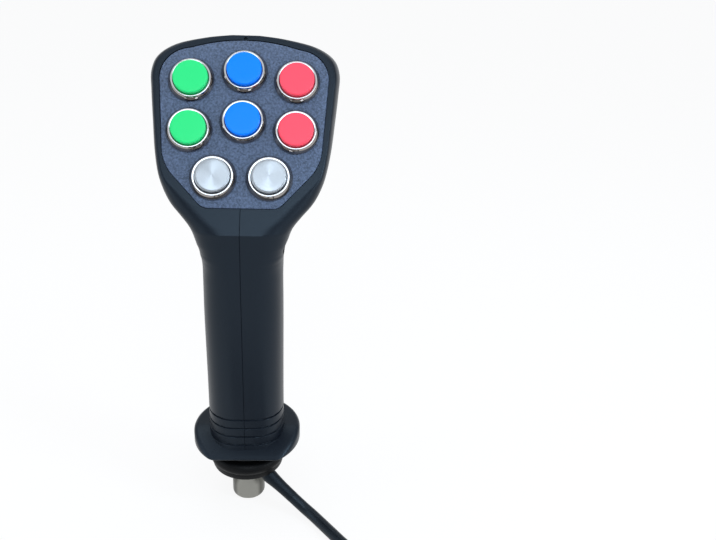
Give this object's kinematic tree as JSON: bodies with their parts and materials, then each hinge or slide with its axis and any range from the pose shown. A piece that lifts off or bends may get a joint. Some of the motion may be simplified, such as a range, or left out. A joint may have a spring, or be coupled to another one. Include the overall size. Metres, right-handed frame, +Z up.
{
  "type": "industrial joystick grip",
  "caption": "Moulded joystick grip for a control lever, with sloping panel of push buttons, bar trigger, hand rest, rubber boot, metal lever adapter and a cable with connector.",
  "frame": {"origin": "centre of the adapter's foot, at the mouth of the tapped lever hole", "axes": "+Z up along the lever, -Y towards the operator and the button panel, +X to the right as the operator sees it"},
  "size_m": [0.1178, 0.2193, 0.2371],
  "materials": {
    "shell": "fine moulded texture, satin",
    "plate": "fine leather grain, satin",
    "cap_green": "anodised gloss green",
    "cap_blue": "anodised gloss blue",
    "cap_red": "anodised gloss red",
    "cap_steel": "turned stainless steel",
    "bush_chrome": "polished",
    "trigger_red": "moulded crimson",
    "adapter": "turned",
    "pin_steel": "zinc plated",
    "spring_steel": "drawn wire",
    "switch_black": "moulded",
    "plunger_cream": "moulded",
    "rubber": "moulded, matte",
    "cable": "extruded jacket, satin",
    "tie": "moulded strap",
    "connector": "moulded, satin",
    "lock_orange": "moulded wedge lock",
    "seal_orange": "silicone"
  },
  "bodies": {
    "grip": {"left_shell": "shell", "right_shell": "shell", "face_plate": "plate", "green_bush_upper": "bush_chrome", "green_bush_lower": "bush_chrome", "blue_bush_upper": "bush_chrome", "blue_bush_lower": "bush_chrome", "red_bush_upper": "bush_chrome", "red_bush_lower": "bush_chrome", "steel_bush_left": "bush_chrome", "steel_bush_right": "bush_chrome", "green_switch_upper": "switch_black", "green_switch_lower": "switch_black", "blue_switch_upper": "switch_black", "blue_switch_lower": "switch_black", "red_switch_upper": "switch_black", "red_switch_lower": "switch_black", "steel_switch_left": "switch_black", "steel_switch_right": "switch_black", "green_spring_upper": "spring_steel", "green_spring_lower": "spring_steel", "blue_spring_upper": "spring_steel", "blue_spring_lower": "spring_steel", "red_spring_upper": "spring_steel", "red_spring_lower": "spring_steel", "steel_spring_left": "spring_steel", "steel_spring_right": "spring_steel", "bush_nuts": "bush_chrome", "bush_seals": "rubber", "trigger_pin": "pin_steel", "trigger_spring": "spring_steel", "microswitch": "switch_black", "microswitch_screws": "pin_steel", "lever_adapter": "adapter", "cross_pin": "pin_steel", "rubber_boot": "rubber", "head_bolt": "pin_steel", "neck_bolt": "pin_steel", "bolt_nuts": "pin_steel", "cable_gland": "rubber", "wiring_loom": "cable", "cable_run": "cable", "cable_coil": "cable", "coil_tie": "tie", "connector_body": "connector", "connector_lock": "lock_orange", "connector_seal": "seal_orange", "connector_boot": "rubber"},
    "green_button_upper": {"green_cap_upper": "cap_green"},
    "green_button_lower": {"green_cap_lower": "cap_green"},
    "blue_button_upper": {"blue_cap_upper": "cap_blue"},
    "blue_button_lower": {"blue_cap_lower": "cap_blue"},
    "red_button_upper": {"red_cap_upper": "cap_red"},
    "red_button_lower": {"red_cap_lower": "cap_red"},
    "steel_button_left": {"steel_cap_left": "cap_steel"},
    "steel_button_right": {"steel_cap_right": "cap_steel"},
    "trigger": {"trigger": "trigger_red"},
    "switch_plunger": {"microswitch_plunger": "plunger_cream"}
  },
  "joints": [
    {"name": "green_button_upper_press", "type": "slide", "parent": "grip", "child": "green_button_upper", "axis": [0, 0.7986, -0.6018], "range_m": [0, 0.002], "stiffness_N_per_m": 400, "springref_m": -0.003, "deforming": ["green_spring_upper"]},
    {"name": "green_button_lower_press", "type": "slide", "parent": "grip", "child": "green_button_lower", "axis": [0, 0.7986, -0.6018], "range_m": [0, 0.002], "stiffness_N_per_m": 400, "springref_m": -0.003, "deforming": ["green_spring_lower"]},
    {"name": "blue_button_upper_press", "type": "slide", "parent": "grip", "child": "blue_button_upper", "axis": [0, 0.7986, -0.6018], "range_m": [0, 0.002], "stiffness_N_per_m": 400, "springref_m": -0.003, "deforming": ["blue_spring_upper"]},
    {"name": "blue_button_lower_press", "type": "slide", "parent": "grip", "child": "blue_button_lower", "axis": [0, 0.7986, -0.6018], "range_m": [0, 0.002], "stiffness_N_per_m": 400, "springref_m": -0.003, "deforming": ["blue_spring_lower"]},
    {"name": "red_button_upper_press", "type": "slide", "parent": "grip", "child": "red_button_upper", "axis": [0, 0.7986, -0.6018], "range_m": [0, 0.002], "stiffness_N_per_m": 400, "springref_m": -0.003, "deforming": ["red_spring_upper"]},
    {"name": "red_button_lower_press", "type": "slide", "parent": "grip", "child": "red_button_lower", "axis": [0, 0.7986, -0.6018], "range_m": [0, 0.002], "stiffness_N_per_m": 400, "springref_m": -0.003, "deforming": ["red_spring_lower"]},
    {"name": "steel_button_left_press", "type": "slide", "parent": "grip", "child": "steel_button_left", "axis": [0, 0.7986, -0.6018], "range_m": [0, 0.002], "stiffness_N_per_m": 400, "springref_m": -0.003, "deforming": ["steel_spring_left"]},
    {"name": "steel_button_right_press", "type": "slide", "parent": "grip", "child": "steel_button_right", "axis": [0, 0.7986, -0.6018], "range_m": [0, 0.002], "stiffness_N_per_m": 400, "springref_m": -0.003, "deforming": ["steel_spring_right"]},
    {"name": "trigger_pivot", "type": "hinge", "parent": "grip", "child": "trigger", "pos_m": [0, 0.011, 0.131], "axis": [-1, 0, 0], "range_deg": [0, 4.5], "stiffness_Nm_per_rad": 1.2, "springref_deg": -3.44, "deforming": ["trigger_spring"]},
    {"name": "plunger_slide", "type": "slide", "parent": "grip", "child": "switch_plunger", "axis": [0, -1, 0], "range_m": [0, 0.0014]}
  ],
  "couplings": [
    {"joint": "plunger_slide", "follows": "trigger_pivot", "m_per_rad": 0.016}
  ]
}
